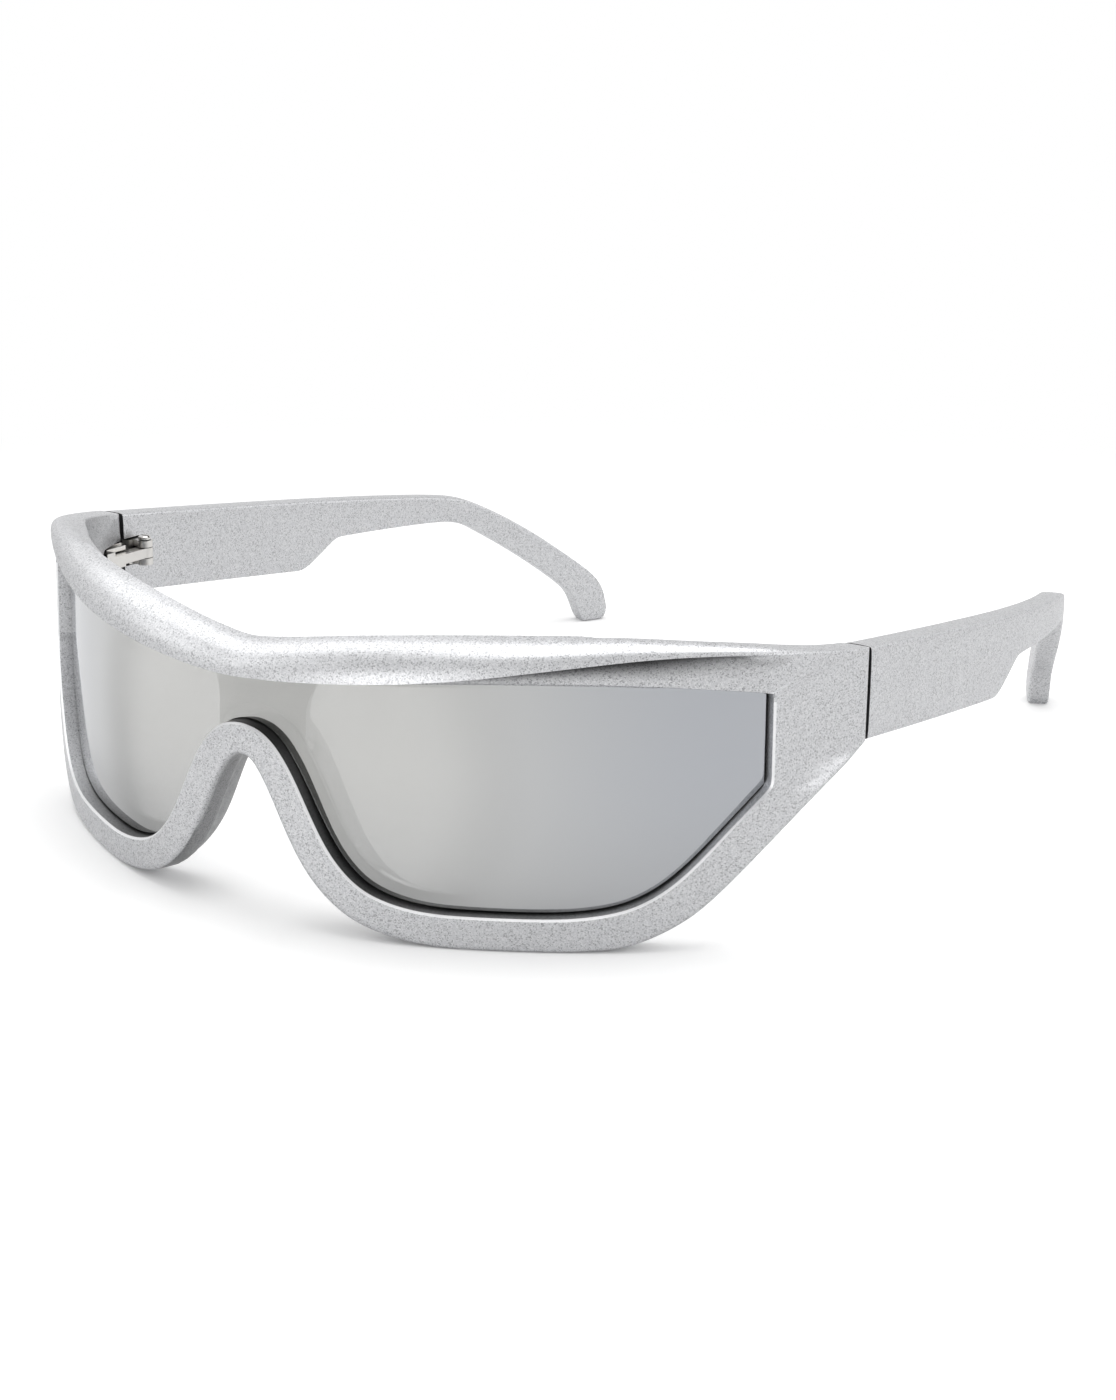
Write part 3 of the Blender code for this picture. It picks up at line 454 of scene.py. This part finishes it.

# %% [markdown]
# The chamfer round the lens opening gets a painted highlight where it catches
# the light. The packed model has that chamfer as a row of narrow faces, and
# they could be picked by hand in Edit Mode. A rule picks them here, so that it
# still works when the part changes: a narrow face that slopes between the
# front's outside and the wall of the opening, under the brow and facing up, or
# at the opening's ends.

# %% Chamfer with a painted highlight
HEAD_CENTRE = Vector((0, -30, 0)) * MM
BROW_FOOT = 34 * MM
END_WALL = 60 * MM
CHAMFER_WIDTH = 0.7 * MM
CHAMFER_SLOPE = (0.15, 0.85)
END_SLOPE = 0.5
LEVEL = 0.1
WALL_STEP = 0.1


def outward_from_head(place):
    """Level direction from the middle of the head to a place."""
    return ((place - HEAD_CENTRE) * Vector((1, 1, 0))).normalized()


def is_opening_chamfer(face):
    """Narrow sloping face between the front's outside and the wall of the opening."""
    middle = face.calc_center_median()
    longest = max(edge.calc_length() for edge in face.edges)
    narrow = face.calc_area() < CHAMFER_WIDTH * longest
    slope = face.normal.dot(outward_from_head(middle))
    at_end = abs(middle.x) > END_WALL and slope < END_SLOPE and face.normal.z > -LEVEL
    sloping = CHAMFER_SLOPE[0] < slope < CHAMFER_SLOPE[1]
    return narrow and sloping and middle.z < BROW_FOOT and (face.normal.z > LEVEL or at_end)


def is_wall_side(edge, highlight_layer):
    """Edge between the highlighted chamfer and the wall of the opening behind it."""
    highlighted, wall = sorted(edge.link_faces, key=lambda face: -face[highlight_layer])
    outward = outward_from_head(highlighted.calc_center_median())
    return wall.normal.dot(outward) < highlighted.normal.dot(outward) - WALL_STEP


print("chamfer up to", CHAMFER_WIDTH / MM, "mm wide")

# %% [markdown]
# The dark line under the brow's lip, the wall of the lens opening and the walls
# of the nose gap are hollows that the soft light doesn't reach. They could be
# painted by hand as a colour attribute. Again a rule finds them: inner corners
# by the angle of their edge, and walls by the way they face. Each gets a depth
# between 0 in the open and 1 in the deepest corner.

# %% Corners that fill with shade
SQUARE_ANGLE = radians(65)
HOLLOW_ANGLE = radians(30)
LIP_FOOT = 35 * MM
LIP_RISE = 0.05
BROW_END = 66 * MM
BROW_FADE = (52 * MM, 74 * MM)
POCKET_START = -42 * MM
NOSE_WALL = (15 * MM, 0.85)  # distance from the middle, and depth there
END_SHADE = (62 * MM, 0.15)
FOOT_DEPTH = 0.4  # how much deeper the foot of the wall is
GAP_HALF = 16 * MM
GAP_HEIGHT = 25 * MM
GAP_START = -79.5 * MM
GAP_FACING = 0.5
SADDLE_SHADE = 0.6
INNER_END = 58 * MM
INNER_END_RANGE = (-46 * MM, -32 * MM)
INNER_FACING = 0.7
POCKET_SHADE = 0.45


def is_shaded_corner(edge):
    """Inner corner under the brow's lip or at the foot of the opening's wall."""
    angle = edge.calc_face_angle_signed(0)
    middle = (edge.verts[0].co + edge.verts[1].co) / 2
    on_brow = abs(middle.x) < BROW_END and middle.z > LIP_FOOT + LIP_RISE * abs(middle.x)
    outward = outward_from_head(middle)
    seen = sum(face.normal.dot(outward) for face in edge.link_faces) > 0
    on_front = middle.y < POCKET_START and seen
    in_pocket = middle.y > POCKET_START and abs(middle.x) > END_WALL
    return (angle < -HOLLOW_ANGLE and on_brow or
            angle < -SQUARE_ANGLE and (on_front or in_pocket))


def wall_depth(place):
    """Depth on the opening's wall, dark beside the nose and light at the ends."""
    (near, deep), (far, weak) = NOSE_WALL, END_SHADE
    share = min(1.0, max(0.0, (abs(place.x) - near) / (far - near)))
    return deep + (weak - deep) * share


def edge_depth(edge, highlight_layer, on_chamfer):
    """Depth at an edge."""
    place = edge.verts[0].co
    if is_shaded_corner(edge):
        if place.z > BROW_FOOT:
            near, far = BROW_FADE
            return min(1.0, (far - abs(place.x)) / (far - near))
        return min(1.0, wall_depth(place) + FOOT_DEPTH)
    return wall_depth(place) if on_chamfer and is_wall_side(edge, highlight_layer) else 0.0


def hollow_depth(face):
    """Depth of a wall in the nose gap or at the inner end beside the hinge."""
    middle = face.calc_center_median()
    inward = -face.normal.x if middle.x > 0 else face.normal.x
    in_gap = abs(middle.x) < GAP_HALF and middle.z < GAP_HEIGHT and middle.y > GAP_START
    at_hinge = (abs(middle.x) > INNER_END
                and INNER_END_RANGE[0] < middle.y < INNER_END_RANGE[1])
    if inward > GAP_FACING and in_gap:
        return SADDLE_SHADE
    return POCKET_SHADE if inward > INNER_FACING and at_hinge else 0.0


print("wall depth", wall_depth(Vector()), "at the nose")

# %% [markdown]
# The imported solids are faceted. A finished copy of each one takes its place.
# Its loose triangles are merged and joined into quads, because a Subdivision
# Surface makes ripples on triangles. Edges that are sharp on the real piece
# are creased, and the modifier rounds the rest, so the roll of the brow and
# the bends of the temples are as smooth as the moulded ones. The marks for the
# chamfer's painted highlight and for painted shade are written at the same
# time. A bmesh layer has to exist before its faces and edges are listed, so all
# the layers come first.

# %% Mesh of a finished copy
SAME_POINT = 0.001 * MM
QUAD_FOLD = radians(40)
QUAD_SHAPE = radians(75)
HIGHLIGHT_FOLD = radians(15)


def merged_solid(node):
    """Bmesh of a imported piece, with its points merged and its triangles joined."""
    bm = bmesh.new()
    bm.from_mesh(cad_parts[node].data)
    bmesh.ops.remove_doubles(bm, verts=bm.verts, dist=SAME_POINT)
    bmesh.ops.join_triangles(bm, faces=bm.faces, angle_face_threshold=QUAD_FOLD,
                             angle_shape_threshold=QUAD_SHAPE)
    return bm


def mark_surface(bm, crease_angle, is_front):
    """Write creases, highlight faces and shade depths; returns the highlight faces."""
    crease = bm.edges.layers.float.new("crease_edge")
    crevice = bm.verts.layers.float.new("crevice")
    highlight_layer = bm.faces.layers.float.new("painted_highlight")

    def deepen(points, depth):
        for point in points:
            point[crevice] = max(point[crevice], depth)

    for face in bm.faces:
        face.smooth = True
        # flag the chamfer faces that get the painted highlight
        face[highlight_layer] = is_front and is_opening_chamfer(face)
        if is_front:
            deepen(face.verts, hollow_depth(face))
    for edge in bm.edges:
        angle = edge.calc_face_angle(0)
        on_chamfer = sum(face[highlight_layer] > 0 for face in edge.link_faces) == 1
        folded = angle > crease_angle or on_chamfer and angle > HIGHLIGHT_FOLD
        edge[crease] = folded
        edge.smooth = not folded
        deepen(edge.verts, edge_depth(edge, highlight_layer, on_chamfer))
    return sum(face[highlight_layer] > 0 for face in bm.faces)


print("points closer than", SAME_POINT / MM, "mm are one")

# %% [markdown]
# A finished copy is a new object that stands for its imported piece. The piece
# itself could be edited instead, but it is kept unchanged and hidden. The piece
# itself could be edited, but then nothing would be left to measure the copy
# against. The copy's place stays in its mesh, so the object stays at the origin.
# It rides on the body of its piece, so that it folds with the temple, and it
# keeps the slot of its material.


def finished_copy(node, name, body, material, crease_angle, levels):
    """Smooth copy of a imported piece, which then stands for it."""
    bm = merged_solid(node)
    # number of chamfer faces with the painted highlight
    highlighted = mark_surface(bm, crease_angle, node == "front_frame")
    mesh = bpy.data.meshes.new(name)
    bm.to_mesh(mesh)
    bm.free()
    mesh.materials.clear()
    mesh.materials.append(material)
    piece = bpy.data.objects.new(name, mesh)
    bpy.context.scene.collection.objects.link(piece)
    if levels:
        smooth = piece.modifiers.new("smooth", "SUBSURF")
        smooth.levels = levels
        smooth.render_levels = levels
    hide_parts(node)
    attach(piece, body)
    print(name, len(mesh.polygons), "faces before smoothing,", highlighted, "on the worn edge")
    return piece


# %% [markdown]
# The front holds still and each temple rides on its own side. The front has
# soft folds where its end pieces turn, so only its sharper edges are creased.
# The hinge parts are small turned and stamped pieces, round enough already, so
# they are only shaded smooth between their sharp edges and get no modifier.

# %% Front, lens, temples and hinges
finished_copy("front_frame", "moulded_front", "front", silver_paint, radians(44), 2)
finished_copy("shield_lens", "mirror_shield", "front", mirror_lens, radians(38), 2)
for hand in ("left", "right"):
    side_body = hand + "_side"
    finished_copy(hand + "_temple", hand + "_moulded_temple", side_body, silver_paint,
                  radians(50), 2)
    finished_copy(hand + "_front_leaf", hand + "_end_hinge_leaf", "front", nickel,
                  radians(40), 0)
    finished_copy(hand + "_temple_leaf", hand + "_temple_hinge_leaf", side_body, nickel,
                  radians(40), 0)
    finished_copy(hand + "_hinge_screw", hand + "_slotted_screw", "front", nickel,
                  radians(40), 0)
